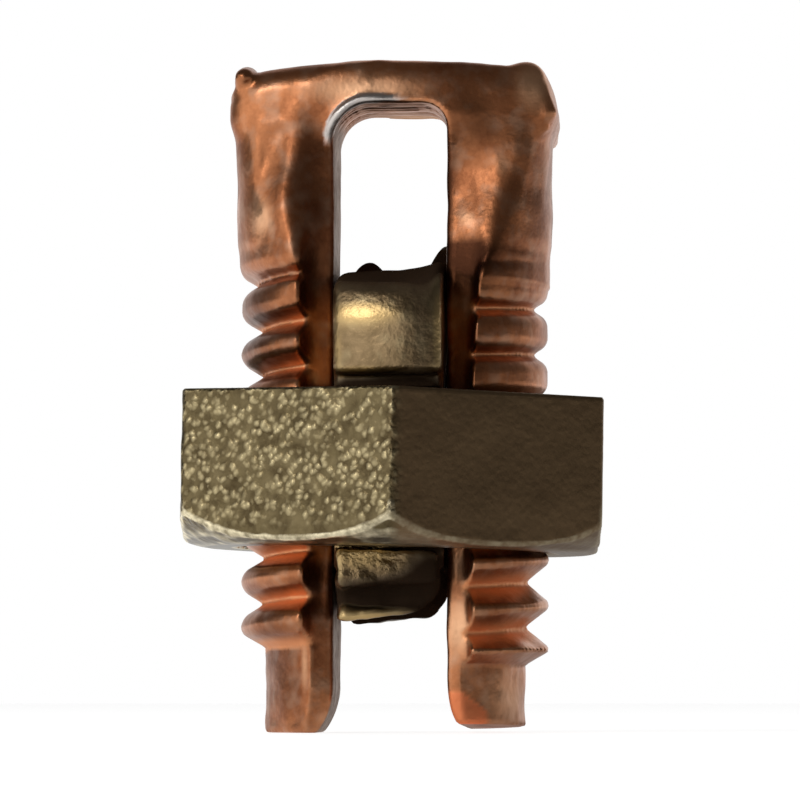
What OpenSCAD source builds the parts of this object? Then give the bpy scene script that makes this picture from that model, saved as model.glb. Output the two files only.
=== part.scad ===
// Split-bolt wire connector: a slotted copper bolt, a brass hexagon nut on its threaded legs, and a brass
// pressure bar that the nut carries up the slot to press wires against the head.
// The bolt's axis is Z and its leg tips stand on z = 0. The legs lie along X, and wires pass along Y.

/* [Thread] */
// Outside diameter of the bolt's thread
thread_d = 15.875; // [15:0.125:17.5]
// Rise of the thread in one turn
thread_pitch = 2.309; // [2.1:0.001:2.6]
// Depth of the groove cut into the bolt
thread_depth = 1.27; // [1:0.01:1.4]
// Flat left on the crest of the bolt's thread
thread_crest = 0.27; // [0.2:0.01:0.4]
// Flat at the bottom of the groove in the bolt
thread_root = 0.2; // [0.1:0.01:0.35]
// Gap between the flanks of the bolt's thread and the nut's
thread_clear = 0.12; // [0.08:0.01:0.18]
// Length of leg that carries full thread
thread_len = 19.2; // [17.5:0.1:21]

/* [Bolt] */
// Height from the leg tips to the middle of the crown
bolt_len = 33.55; // [32:0.05:38]
// Radius of the crowned top, across the legs
crown_r = 47; // [35:1:80]
// Width of the slot between the legs
slot_w = 5.7; // [5:0.1:6.4]
// Metal over the slot at the middle of the head
head_t = 1.75; // [1.4:0.05:3]
// Radius of the slot's two upper corners
slot_corner_r = 1.5; // [1:0.1:2.2]
// Width of the shoulder along each edge of the slot
shoulder_w = 1; // [0.7:0.05:1.5]
// Thickness of the legs between their shoulders, along the wires
shoulder_d = 10; // [9:0.1:11]
// Rise of a shoulder from the slot to the foot of its ridge
shoulder_rise = 0.5; // [0.2:0.05:0.8]
// Lean of the ridge beside a shoulder
ridge_angle = 16; // [8:1:30]
// Length of the plain leg ends below the thread
pilot_len = 3.4; // [2.5:0.1:4.5]
// Height of the sloped wall from the plain leg ends to the thread
pilot_rise = 0.8; // [0.4:0.1:1.4]
// How far the slot opens at each leg tip
mouth_flare = 0.8; // [0.3:0.1:1.2]
// Height of the flared part of the leg tips
mouth_h = 2.4; // [1.5:0.1:3.2]
// Height of the bevel on the leg tips' corners
tip_bevel_h = 1.6; // [0.8:0.1:2]
// Width of the bevel on the leg tips' corners
tip_bevel_w = 1.5; // [0.8:0.1:2]

/* [Head] */
// Width across the two wrench flats of the head
head_w = 16.1; // [15.9:0.1:18]
// Thickness of the head behind the flats, along the wires
head_d = 10.4; // [8.5:0.1:11]
// Thickness of the head over the slot, along the wires
crown_d = 11.3; // [10.6:0.1:12.4]
// Width of a shoulder where it is widest, at the top of the legs
funnel_w = 2.35; // [1.8:0.05:2.8]
// Thickness between the shoulders where they are widest
funnel_d = 9.1; // [8.5:0.1:10]
// Length over which a shoulder widens
funnel_len = 4.8; // [3.5:0.1:6]
// Height over which the widest shoulder comes out to the face of the head
funnel_run = 1.6; // [1:0.1:2.5]
// Height of the wrench flats and their taper into the legs, below the crown
flat_h = 9; // [7:0.1:10]
// Rounding of the head's upright corners
head_corner_r = 1.6; // [0.8:0.1:2.4]
// Height of the upset ear at each end of the crown
ear_h = 3.9; // [3:0.1:4.6]
// Width of an ear
ear_w = 1.9; // [1.4:0.1:2.6]
// How far an ear stands out from its flat
ear_out = 0.2; // [0.1:0.05:0.6]
// How far an ear stands up over the middle of the crown
ear_up = 0.3; // [0:0.05:0.5]
// Length of an ear along the wires
ear_len = 8.4; // [6:0.1:10]

/* [Nut] */
// Width across flats
nut_af = 21; // [20.5:0.1:24]
// Height of the nut
nut_h = 7.7; // [6.5:0.1:8.5]
// Height of the nut's underside over the leg tips, as it is set
nut_z = 9.2; // [8.6:0.1:10.5]
// Turn of the nut from a corner square to the slot
nut_turn = 3; // [-30:1:30]
// Diameter of the bearing face left inside the chamfer
nut_chamfer_d = 20.1; // [18.6:0.1:20.4]
// Slope of the chamfer
nut_chamfer_angle = 30; // [20:1:40]
// Flat left on the ridges of the nut's thread
nut_ridge = 0.3; // [0.2:0.01:0.4]
// Countersink at each end of the nut's bore
nut_sink = 0.35; // [0.1:0.05:0.5]

/* [Pressure bar] */
// Gap between the bar and each wall of the slot
bar_clear = 0.13; // [0.08:0.01:0.25]
// Length of the bar, along the wires
bar_len = 17.4; // [16:0.1:19]
// Height of the bar's jaw
jaw_h = 6.3; // [5:0.1:7]
// Fall of the jaw's top from its middle to its ends
jaw_fall = 1.5; // [0.8:0.1:2]
// Depth of the hollow along the jaw's top
jaw_hollow = 0.55; // [0.2:0.05:0.8]
// Chamfer of the jaw's upright corners
jaw_chamfer = 0.7; // [0.3:0.05:1]
// Height of the pad under the jaw, which rides on the nut
pad_h = 0.75; // [0.4:0.05:1.2]
// How far the pad stays behind the ends of the bar
pad_setback = 0.9; // [0.5:0.1:1]
// Gap between the pad and the nut
pad_gap = 0.05; // [0.03:0.01:0.15]
// Gap between the bar's neck and the nut's bore
neck_clear = 0.15; // [0.1:0.01:0.25]
// Length of the foot below the nut
foot_h = 3.8; // [3:0.1:4.2]
// Width of the foot
foot_w = 5.1; // [4.4:0.1:5.2]
// Height of the lip that is staked out under the nut
lip_h = 1.7; // [1.2:0.1:2]
// How far the lip reaches past the neck
lip_out = 0.8; // [0.5:0.05:1.1]
// Gap between the lip and the nut
lip_gap = 0.25; // [0.1:0.05:0.4]
// Depth of the waist between the lip and the rim of the foot
waist = 0.6; // [0.3:0.05:0.9]
// Height of the rim round the bottom of the foot
rim_h = 0.9; // [0.6:0.05:1.2]

/* [Hidden] */
$fn = 96;
helix_steps = 36;
over = 1;

thread_r = thread_d / 2;
root_r = thread_r - thread_depth;
flank_slope = (thread_pitch - thread_crest - thread_root) / 2 / thread_depth;
flank_gap = thread_clear * sqrt(1 + flank_slope * flank_slope);
groove_lip = thread_crest / 3;
thread_top = pilot_len + thread_len;
runout_turns = 0.55;

slot_half = slot_w / 2;
slot_top = bolt_len - head_t;
spring_z = slot_top - slot_corner_r;
corner_x = slot_half - slot_corner_r;
ridge_x = slot_half + shoulder_w;
ridge_y = sqrt(thread_r * thread_r - ridge_x * ridge_x);
funnel_z = spring_z - funnel_run;
slice = 0.01;
pilot_step = 0.1;
pilot_r = root_r - pilot_step;
mouth_r = (mouth_h * mouth_h + mouth_flare * mouth_flare) / 2 / mouth_flare;
flat_z = bolt_len - flat_h;
flat_taper = 0.15;

nut_top = nut_z + nut_h;
nut_r = nut_af / 2 / cos(30);
bore_r = thread_r - (thread_pitch / 2 - nut_ridge / 2 - thread_crest / 2 - flank_gap) / flank_slope;
sink_r = bore_r + nut_sink;

bar_w = slot_w - 2 * bar_clear;
jaw_z = nut_top + pad_gap + pad_h;
jaw_top = jaw_z + jaw_h;
jaw_crown_r = (bar_len * bar_len / 4 + jaw_fall * jaw_fall) / 2 / jaw_fall;
jaw_hollow_r = (bar_w * bar_w / 4 + jaw_hollow * jaw_hollow) / 2 / jaw_hollow;
neck_r = bore_r - neck_clear;
foot_z = nut_z - foot_h;
lip_top = nut_z - lip_gap;
lip_r = lip_h / 2;

// Height of the bolt's groove at an angle round the axis, rising with a right-hand thread
function groove_z(angle) = thread_top + thread_pitch * (angle - 180) / 360;

// Tube with a four-sided profile of [radius, height] corners, swept through rings of [angle, lift]
module helix_sweep(rings, profile) {
    sides = len(profile);
    points = [for (ring = rings) for (corner = profile)
        [(corner[0] + ring[1]) * cos(ring[0]), (corner[0] + ring[1]) * sin(ring[0]),
         groove_z(ring[0]) + corner[1]]];
    walls = [for (i = [0 : len(rings) - 2]) for (j = [0 : sides - 1])
        let (a = i * sides + j, b = i * sides + (j + 1) % sides)
        each [[a, a + sides, b + sides], [a, b + sides, b]]];
    last = (len(rings) - 1) * sides;
    caps = [[for (j = [0 : sides - 1]) j], [for (j = [sides - 1 : -1 : 0]) last + j]];
    polyhedron(points, concat(caps, walls));
}

// Groove of the bolt's thread, which runs out above the last full turn
module bolt_groove() {
    full = ceil((thread_len + thread_pitch) / thread_pitch * helix_steps);
    fade = ceil(runout_turns * helix_steps);
    rise = thread_depth + groove_lip;
    rings = [for (i = [-full : fade]) [180 + 360 * i / helix_steps, rise * max(0, i) / fade]];
    half_in = thread_root / 2;
    half_out = half_in + flank_slope * rise;
    helix_sweep(rings, [[root_r, -half_in], [root_r, half_in],
                        [thread_r + groove_lip, half_out], [thread_r + groove_lip, -half_out]]);
}

// Groove of the nut's thread, half a pitch from the bolt's groove, so that the two mesh
module nut_groove() {
    low = floor((nut_z - thread_top) / thread_pitch - 1.5);
    high = ceil((nut_top - thread_top) / thread_pitch + 0.5);
    rings = [for (i = [low * helix_steps : high * helix_steps]) [180 + 360 * i / helix_steps, 0]];
    major_r = thread_r + thread_clear;
    half_in = thread_pitch / 2 - nut_ridge / 2 + flank_slope * groove_lip;
    half_out = half_in - flank_slope * (major_r - bore_r + groove_lip);
    mid = thread_pitch / 2;
    helix_sweep(rings, [[bore_r - groove_lip, mid - half_in], [bore_r - groove_lip, mid + half_in],
                        [major_r, mid + half_out], [major_r, mid - half_out]]);
}

// Slot between the legs, with two rounded upper corners
module slot() {
    rotate([90, 0, 0]) linear_extrude(height = thread_d + over, center = true) {
        for (side = [-1, 1]) translate([side * corner_x, spring_z]) circle(slot_corner_r);
        translate([-slot_half, -over]) square([slot_w, spring_z + over]);
        translate([-corner_x, 0]) square([2 * corner_x, slot_top]);
    }
}

// Plan of the cut in front of the slot: a floor that rises from each edge of the slot to a leaning ridge
module shoulder_plan(width, thickness) {
    foot_x = slot_half + width;
    foot_y = thickness / 2 + shoulder_rise;
    out_y = thread_r + over;
    out_x = foot_x + (out_y - foot_y) * tan(ridge_angle);
    polygon([[-slot_half, thickness / 2], [slot_half, thickness / 2], [foot_x, foot_y], [out_x, out_y],
             [-out_x, out_y], [-foot_x, foot_y]]);
}

// Shoulders along the slot, which open out like a funnel at the top of the legs and run out into the head
module shoulders() {
    for (side = [0, 1]) mirror([0, side, 0]) {
        translate([0, 0, -over]) linear_extrude(height = funnel_z - funnel_len + over)
            shoulder_plan(shoulder_w, shoulder_d);
        hull() {
            translate([0, 0, funnel_z - funnel_len]) linear_extrude(height = slice)
                shoulder_plan(shoulder_w, shoulder_d);
            translate([0, 0, funnel_z]) linear_extrude(height = slice) shoulder_plan(funnel_w, funnel_d);
        }
        hull() {
            translate([0, 0, funnel_z]) linear_extrude(height = slice) shoulder_plan(funnel_w, funnel_d);
            translate([0, 0, spring_z]) linear_extrude(height = slice) shoulder_plan(funnel_w, crown_d);
        }
    }
}

// Side of the bolt, seen along X: the head slopes in from the round bar to its thickness over the slot
module head_profile() {
    rotate([90, 0, 90]) linear_extrude(height = 2 * thread_d, center = true)
        for (side = [0, 1]) mirror([side, 0])
            polygon([[0, -over], [thread_r + over, -over], [thread_r + over, flat_z], [thread_r, flat_z],
                     [crown_d / 2, spring_z], [crown_d / 2, bolt_len + over], [0, bolt_len + over]]);
}

// Block behind the wrench flats, with rounded upright corners, tapering down into the round legs
module flats_block() {
    intersection() {
        translate([0, 0, flat_z]) linear_extrude(height = flat_h + over) {
            square([head_w, head_d - 2 * head_corner_r], center = true);
            square([head_w - 2 * head_corner_r, head_d], center = true);
            for (x = [-1, 1]) for (y = [-1, 1])
                translate([x * (head_w / 2 - head_corner_r), y * (head_d / 2 - head_corner_r)])
                    circle(head_corner_r);
        }
        translate([0, 0, flat_z])
            cylinder(r1 = thread_r - flat_taper, r2 = thread_r + flat_taper * flat_h, h = flat_h + over);
    }
}

// Upset ear along each end of the crown
module ears() {
    ear_r = ear_w / 2;
    ear_top = bolt_len + ear_up;
    for (side = [-1, 1]) translate([side * (head_w / 2 + ear_out - ear_r), 0, 0]) rotate([90, 0, 0])
        linear_extrude(height = ear_len, center = true) {
            for (z = [ear_top - ear_h + ear_r, ear_top - ear_r]) translate([0, z]) circle(ear_r);
            translate([-ear_r, ear_top - ear_h + ear_r]) square([ear_w, ear_h - ear_w]);
        }
}

// Flare of the slot between the leg tips
module mouth() {
    rotate([90, 0, 0]) linear_extrude(height = thread_d + over, center = true)
        for (side = [0, 1]) mirror([side, 0]) difference() {
            translate([0, -over]) square([slot_half + mouth_flare + over, mouth_h + over]);
            translate([slot_half + mouth_r, mouth_h]) circle(mouth_r);
        }
}

// Bevels along the front and back of the leg tips
module tip_bevels() {
    for (side = [0, 1]) mirror([0, side, 0]) rotate([90, 0, 90])
        linear_extrude(height = thread_d + over, center = true)
            polygon([[ridge_y - tip_bevel_w, 0], [ridge_y - tip_bevel_w, -over], [ridge_y + over, -over],
                     [ridge_y + over, tip_bevel_h + over * tip_bevel_h / tip_bevel_w]]);
}

module split_bolt() {
    color("#a8623c") difference() {
        union() {
            intersection() {
                union() {
                    cylinder(r = thread_r, h = bolt_len + over);
                    flats_block();
                }
                head_profile();
                translate([0, 0, bolt_len - crown_r]) rotate([90, 0, 0])
                    cylinder(r = crown_r, h = 2 * thread_d, center = true, $fn = 200);
            }
            ears();
        }
        slot();
        shoulders();
        rotate_extrude() polygon([[pilot_r, -over], [thread_r + over, -over],
            [thread_r + over, pilot_len + pilot_rise * (thread_r + over - pilot_r) / (thread_r - pilot_r)],
            [pilot_r, pilot_len]]);
        mouth();
        tip_bevels();
        bolt_groove();
    }
}

module hex_nut() {
    chamfer_tan = tan(nut_chamfer_angle);
    color("#8a7a4c") difference() {
        rotate([0, 0, nut_turn + 30]) translate([0, 0, nut_z]) cylinder(r = nut_r, h = nut_h, $fn = 6);
        translate([0, 0, nut_z]) rotate_extrude() polygon([[nut_chamfer_d / 2, 0],
            [nut_chamfer_d / 2 - over, -over * chamfer_tan], [nut_r + over, -over * chamfer_tan],
            [nut_r + over, (nut_r + over - nut_chamfer_d / 2) * chamfer_tan]]);
        translate([0, 0, nut_z - over]) cylinder(r = bore_r, h = nut_h + 2 * over);
        for (end = [0, 1]) translate([0, 0, nut_z + end * nut_h]) mirror([0, 0, end])
            translate([0, 0, -over]) cylinder(r1 = sink_r + over, r2 = bore_r, h = nut_sink + over);
        nut_groove();
    }
}

// Jaw over the nut: a hollow runs along its top, and the top falls to both ends
module jaw() {
    intersection() {
        translate([0, 0, jaw_z]) linear_extrude(height = jaw_h) intersection() {
            square([bar_w, bar_len], center = true);
            rotate(45) square(((bar_w + bar_len) / 2 - jaw_chamfer) * sqrt(2), center = true);
        }
        translate([0, 0, jaw_top - jaw_crown_r]) rotate([0, 90, 0]) rotate_extrude($fn = 200) difference() {
            translate([0, -bar_w]) square([jaw_crown_r, 2 * bar_w]);
            translate([jaw_crown_r - jaw_hollow + jaw_hollow_r, 0]) circle(jaw_hollow_r);
        }
    }
}

// Foot below the nut: a lip staked out under it, a waist and a rim, seen along X
module foot_profile() {
    rim_r = rim_h / 2;
    for (side = [0, 1]) mirror([side, 0]) {
        translate([neck_r + lip_out - lip_r, lip_top - lip_r]) circle(lip_r);
        translate([0, lip_top - lip_h]) square([neck_r + lip_out - lip_r, lip_h]);
        translate([neck_r - rim_r, foot_z + rim_r]) circle(rim_r);
        translate([0, foot_z]) square([neck_r - rim_r, rim_h]);
        translate([0, foot_z + rim_r]) square([neck_r - waist, lip_top - lip_r - foot_z - rim_r]);
    }
}

module pressure_bar() {
    color("#94825a") {
        jaw();
        translate([0, 0, nut_top + pad_gap + pad_h / 2])
            cube([foot_w, bar_len - 2 * pad_setback, pad_h], center = true);
        intersection() {
            translate([-bar_w / 2, -bar_len / 2, lip_top - lip_h])
                cube([bar_w, bar_len, jaw_z - lip_top + lip_h]);
            translate([0, 0, foot_z]) cylinder(r = neck_r, h = jaw_top - foot_z);
        }
        rotate([90, 0, 90]) linear_extrude(height = foot_w, center = true) foot_profile();
    }
}

split_bolt();
hex_nut();
pressure_bar();
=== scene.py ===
"""Looks of a split-bolt wire connector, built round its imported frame.

The forged copper bolt, the brass hexagon nut and the cast brass pressure bar are each sculpted as a
distance field in millimetres, negative inside the metal. Each field is skinned into a mesh, which takes
the place of its plain solid and gets a worn metal finish.
"""
import itertools
import math

import bpy
import numpy as np
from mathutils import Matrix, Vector


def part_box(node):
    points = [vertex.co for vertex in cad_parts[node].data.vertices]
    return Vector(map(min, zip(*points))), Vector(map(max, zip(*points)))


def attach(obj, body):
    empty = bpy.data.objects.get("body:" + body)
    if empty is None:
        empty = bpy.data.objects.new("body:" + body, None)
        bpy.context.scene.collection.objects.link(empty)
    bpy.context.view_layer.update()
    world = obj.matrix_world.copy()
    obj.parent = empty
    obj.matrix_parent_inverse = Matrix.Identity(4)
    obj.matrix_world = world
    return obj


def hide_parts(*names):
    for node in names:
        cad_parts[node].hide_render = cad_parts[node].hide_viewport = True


MM = 0.001

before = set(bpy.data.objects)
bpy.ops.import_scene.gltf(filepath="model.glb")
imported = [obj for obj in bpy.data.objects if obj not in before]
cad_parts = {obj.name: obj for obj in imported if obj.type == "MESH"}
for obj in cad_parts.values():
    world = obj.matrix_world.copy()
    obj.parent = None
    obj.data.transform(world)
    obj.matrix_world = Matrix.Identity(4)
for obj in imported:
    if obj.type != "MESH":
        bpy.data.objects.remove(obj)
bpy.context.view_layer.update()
bolt_low, bolt_high = [np.array(corner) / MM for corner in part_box("split_bolt")]
nut_low, nut_high = [np.array(corner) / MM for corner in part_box("hex_nut")]
bar_low, bar_high = [np.array(corner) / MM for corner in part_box("pressure_bar")]

# Thread that the bolt and the nut share, in millimetres
THREAD_R = 15.875 / 2
PITCH = 2.309
THREAD_DEPTH = 1.27
THREAD_TOP = 22.6
ROOT_R = THREAD_R - THREAD_DEPTH
ROOT_ROUND = 0.12
CREST_R = 7.8
CREST_EDGE = 0.05
FLANK = 0.577
FLANK_COS = FLANK / math.hypot(1, FLANK)
RUNOUT_TURNS = 0.55
RUNOUT_MOST = 1.4
RUNOUT_LIFT = THREAD_DEPTH + 0.1

# Wear of the bolt's thread: how far a groove is filled or widened, and the heights that it sets in between
END_FILL = 1.2
END_RUN = (3.6, 3)
RIGHT_FILL = 0.45
RIGHT_RUN = (14, 17)
LEFT_FILL = 0.25
LEFT_RUN = (20, 22)
FLANK_WORN = 0.2
FLANK_RUN = (12, 9)
RIGHT_SIDE = (-0.5, 1)
LEFT_SIDE = (0.5, -1)
CREST_ROUND_LEFT = 0.36
CREST_ROUND_RIGHT = 0.12
CREST_ROUND_WORN = 0.2
CREST_OPEN = 2
CREST_OPEN_RUN = (22.3, 24)

# Bolt, in millimetres; a run holds the two places that a change starts and ends at
CROWN_Z = bolt_high[2] - 0.3
CROWN_BULGE = 0.25
CROWN_R = 47
CROWN_ROUND = 1.3
SLOT_HALF = 2.85
SLOT_TOP = CROWN_Z - 2.1
SLOT_RISE = 0.55
SLOT_RISE_RUN = (-2, 5.5)
SLOT_FLARE = 0.05
SLOT_CORNER_LEFT = 1.9
SLOT_CORNER_RIGHT = 1.25
SLOT_ROUND = 0.18
MOUTH_H = 2.4
MOUTH_FLARE = 0.8
MOUTH_R = (MOUTH_H ** 2 + MOUTH_FLARE ** 2) / 2 / MOUTH_FLARE
RIPPLE = 0.04
RIPPLE_RUN = (30, 31)
RIPPLE_WAVES = ((1, 8, 0), (0.6, 13.7, 1))
PILOT_LEFT = 4.3
PILOT_RIGHT = 3.4
PILOT_RISE = 0.8
PILOT_R = ROOT_R - 0.1
PILOT_SLOPE = 0.6
PILOT_ROUND = 0.08
HEAD_W = 16.1
HEAD_RUN = (22.5, 26)
HEAD_SEAM = 0.6
CHEEK_ROUND = 1.6
FLAT_Z = CROWN_Z - 9
FLAT_ROUND = 0.3
TAPER = 0.15
TAPER_IN = 0.15
TAPER_ROUND = 0.5
BOW_IN = 1.1
BOW_RUN = (26, 30.5)
ARCH_SIDES = (-1.5, 1.5)
ARCH_LEFT_RUN = (29.6, 31)
ARCH_RIGHT_RUN = (28.2, 31.2)
FRONT_Y = 5.6
FRONT_FALL = 0.096
FRONT_SOFT = 0.8
FRONT_MIDDLE = 1
FRONT_LEFT = -2
FRONT_LEFT_BEND = 0.012
FRONT_RIGHT = 3
FRONT_RIGHT_BEND = 0.03
EAR_LEFT = ((-7.4, 33.28), (-7.5, 31.2), 0.5)
EAR_RIGHT = ((6.9, 33.0), (7.6, 31.1), 0.78)
EAR_DROP_LEFT = 0.02
EAR_DROP_RIGHT = 0.012
EAR_HALF_LEFT = 3.4
EAR_GROW_RUN = (32, 33)
EAR_HALF_RIGHT = 4.5
EAR_SKEW = 0.3
EAR_SKEW_X = 7
EAR_ROUND = 0.6
EAR_SEAM_LEFT = 0.25
EAR_SEAM_LOW = 0.7
EAR_SEAM_RUN = (32.7, 32)
EAR_SEAM_RIGHT = 0.6
BEVEL_H = 1.6
BEVEL_W = 1.5
BEVEL_ROUND = 0.1
LEG_FRONT = math.sqrt(THREAD_R ** 2 - (SLOT_HALF + 1.3) ** 2)
RIGHT_TIP = 0.3
TIP_LEAN = 0.03
TIP_ROUND = 0.12
BEAD_R = 0.22
BEAD_IN = 0.26
BEAD_OUT = 0.03
BEAD_RUN = (29, 30.3)
BEAD_SIDES = (1.8, -1.6)
BEAD_SEAM = 0.12

# Shoulder beside the slot, in millimetres: a first value, then changes and the heights they run between
SHOULDER_W_LEFT = (1.6, (-0.25, 0, 9), (0.25, 9, 17), (0.9, 22.5, 29.5))
SHOULDER_W_RIGHT = (1.3, (0.4, 17, 23.5), (1.8, 22.5, 26.5), (1.5, 25, 28.5))
SHOULDER_Y_LEFT = (4.8, (-0.3, 5, 27))
SHOULDER_Y_RIGHT = (5.2, (-0.4, 14, 25), (-0.78, 23.5, 28.5))
SHOULDER_SLOPE_LEFT = 0.35
SHOULDER_SLOPE_RIGHT = (0.3, (0.2, 9, 17), (-0.13, 24.5, 28.5))
SHOULDER_COS = 1 / 1.08
SHOULDER_ROUND = (0.35, (0.65, *HEAD_RUN))
RIDGE_LEAN = (0.3, (0.4, *HEAD_RUN))
RIDGE_Y = 6.3
RIDGE_MOST = 3
FILLET_LEFT = 0.45
FILLET_RIGHT = 0.25
FILLET_HEAD = 0.95

# Forging ridges on the head: place and reach across and up, and height, in millimetres
FORGE_MARKS = (
    (-6.5, 26.1, 0.4, 0.8, 0.12), (-6.8, 28.6, 0.3, 1.4, 0.1), (-5.6, 30.6, 0.9, 0.3, 0.05),
    (5.4, 28.5, 0.35, 0.8, 0.05), (3.8, 25.9, 0.35, 0.6, 0.05), (4.4, 27.2, 0.3, 1.0, 0.04),
)

# Unevenness of each skin: height and size of its bumps, in millimetres, and a seed
BOLT_DENTS = ((0.05, 2.6, 3), (0.03, 1.1, 5), (0.012, 0.6, 4))
BAR_DENTS = ((0.03, 1.6, 11), (0.015, 0.6, 12))
NUT_WAVES = ((0.04, 1.9, 22),)
NUT_GRAIN = ((0.03, 0.55, 21),)
FOOT_LUMPS = ((0.1, 0.9, 13),)
FOOT_GRAIN = ((1, 0.45, 14),)

# Nut, in millimetres
NUT_AF = 21
NUT_TURN = math.radians(3)
NUT_EDGE = 0.2
NUT_CHAMFER_R = 10.0
NUT_CHAMFER = math.radians(22)
NUT_CHAMFER_ROUND = 0.12
NUT_CORNER_R = 11.1
NUT_CORNER = math.radians(43)
NUT_CORNER_ROUND = 0.15
NUT_END_ROUND = 0.12
NUT_BORE_R = 6.95
NUT_BORE_EDGE = 0.05
NUT_SINK = 0.35
NUT_SINK_EDGE = 0.08
NUT_LEAN = math.radians(1.2)
NUT_OFFSET = 0.15
NUT_ROOT = 0.72
THREAD_CLEAR = 0.12
# Where the nut's lit half meets the half turned from the light, and how much smoother that shaded half's
# skin is
SHADED_HALF_RUN = (-0.35, 0.45)
SHADED_HALF_SMOOTH = 0.7

# Pressure bar, in millimetres
BAR_W = bar_high[0] - bar_low[0]
BAR_LEN = bar_high[1] - bar_low[1]
JAW_Z = nut_high[2] + 0.8
JAW_TOP = bar_high[2]
JAW_FALL = 1.5
JAW_HOLLOW = 0.55
JAW_HOLLOW_LEFT = -0.25
JAW_CONVEX = 0.07
JAW_NOSE_X = 1.2
JAW_BAND = 20.4
JAW_BAND_SOFT = 0.5
JAW_LEAN = 0.4
JAW_ROUND = 0.5
JAW_LOW_ROUND = 0.45
BURR_LEFT = 2.05
BURR_LEFT_X = -1.75
BURR_LEFT_REACH = 1.4
BURR_RIGHT = 2.4
BURR_RIGHT_RUN = (0.3, 2.3)
BURR_DEPTHS = (4.6, 6.6)
PAD_SETBACK = 1.2
PAD_LOW = nut_high[2] + 0.22
PAD_HIGH = JAW_Z + 0.75
PAD_ROUND = 0.4
NECK_R = NUT_BORE_R - 0.15
NECK_HIGH = JAW_Z + 0.3
NECK_ROUND = 0.2
FOOT_W = 5.1
FOOT_Z = bar_low[2]
FOOT_FRONT = 7.5
FOOT_ROUND = 0.45
FOOT_SKEW = 0.05
FOOT_CUT = (0.77, -0.64)
FOOT_CUT_X = 1.9
FOOT_CUT_Z = 5.75
FOOT_CUT_IN = 0.15
FOOT_CUT_ROUND = 0.5
FOOT_TILT = 0.115
FOOT_TILT_X = -2.5
FOOT_RISE = 0.1
FOOT_LOW_ROUND = 0.25
FOOT_ROUGH_RUN = (6.6, 7.6)
FOOT_ROUGH_SIDES = (1.2, -0.6)
FOOT_GRAIN_LOW = 0.04
FOOT_GRAIN_MORE = 0.05
LIP_TOP = nut_low[2] - 0.1
LIP_H = 1.8
LIP_OUT = 0.8
LIP_BACK = 0.35
LIP_BACK_RUN = (2, 5)
LIP_ROUND = 0.3
LIP_EDGE = 0.1
NECK_LOW = LIP_TOP - LIP_H / 2
WAIST = 0.6
WAIST_HALF = 1.2
WAIST_SEAM = 0.7
RIM_H = 0.9
RIM_SEAM = 0.4
PAD_SEAM = 0.1
FOOT_SEAM = 0.15
BAR_SEAM = 0.05

# Turned axes for the unevenness, so that its bumps follow no edge of a piece
TILT = ((0.36, 0.48, -0.8), (-0.8, 0.6, 0), (0.48, 0.64, 0.6))


# Field helpers

def soft_corner(a, b, radius):
    """Inside both a and b, with the edge between them rounded."""
    beyond = np.hypot(np.maximum(a + radius, 0), np.maximum(b + radius, 0))
    return np.minimum(np.maximum(a, b), -radius) + beyond


def soft_seam(a, b, radius):
    """Inside a or b, with the crease between them filled."""
    return -soft_corner(-a, -b, radius)


def ease(start, end, value):
    """0 before start, 1 after end, and a smooth rise between them."""
    share = np.clip((value - start) / (end - start), 0, 1)
    return share * share * (3 - 2 * share)


def along(z, course):
    """Value that changes with height: a first value, then amounts with the heights that they run between."""
    total = course[0]
    for amount, start, end in course[1:]:
        total = total + amount * ease(start, end, z)
    return total


def lumps(x, y, z, size, seed):
    """Smooth random unevenness from -1 to 1, with bumps of about one size."""
    count = 24
    x, y, z = (a * x + b * y + c * z for a, b, c in TILT)
    table = np.random.default_rng(seed).uniform(-1, 1, (count, count, count)).astype(np.float32)
    whole = [np.floor(axis / size).astype(np.int32) for axis in (x, y, z)]
    part = [ease(0, 1, axis / size - base) for axis, base in zip((x, y, z), whole)]
    total = 0
    for corner in itertools.product((0, 1), repeat=3):
        weight = 1
        for step, share in zip(corner, part):
            weight = weight * (share if step else 1 - share)
        total = total + weight * table[tuple((base + step) % count for base, step in zip(whole, corner))]
    return total


def uneven(x, y, z, layers):
    """Sum of layers of unevenness, each with its height, size and seed."""
    total = 0
    for height, size, seed in layers:
        total = total + height * lumps(x, y, z, size, seed)
    return total


def spots(across, z, marks):
    """Sum of soft round spots on a front: place and reach across and up, and strength."""
    total = 0
    for mark_x, mark_z, reach_x, reach_z, strength in marks:
        spot = np.exp(-((across - mark_x) / reach_x) ** 2 - ((z - mark_z) / reach_z) ** 2)
        total = total + strength * spot
    return total


def thread_place(x, y, z, shift):
    """Height from the middle of the nearest groove, and turns past the last full groove."""
    rise = z - shift - THREAD_TOP - PITCH * (np.arctan2(y, x) / math.tau - 0.5)
    offset = rise - np.round(rise / PITCH) * PITCH
    return offset, (z - offset - THREAD_TOP) / PITCH


# Bolt

def slot_distance(x, y, z):
    """Distance from the wall of the slot, positive in the metal; it opens a little towards the back."""
    below = np.clip(MOUTH_H - z, 0, MOUTH_H)
    wall = SLOT_HALF + MOUTH_R - np.sqrt(MOUTH_R ** 2 - below ** 2)
    wall = wall + np.where(x < 0, SLOT_FLARE * np.maximum(y, 0), 0)
    turn = np.where(x < 0, SLOT_CORNER_LEFT, SLOT_CORNER_RIGHT)
    across = np.abs(x) - (wall - turn)
    up = z - (SLOT_TOP + SLOT_RISE * ease(*SLOT_RISE_RUN, y) - turn)
    corner = np.hypot(np.maximum(across, 0), np.maximum(up, 0))
    return corner + np.minimum(np.maximum(across, up), 0) - turn


def two_sided(x, left, right):
    """Left value on the left leg, right value on the right leg, blended over the arch."""
    share = ease(*ARCH_SIDES, x)
    return left * (1 - share) + right * share


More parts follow.
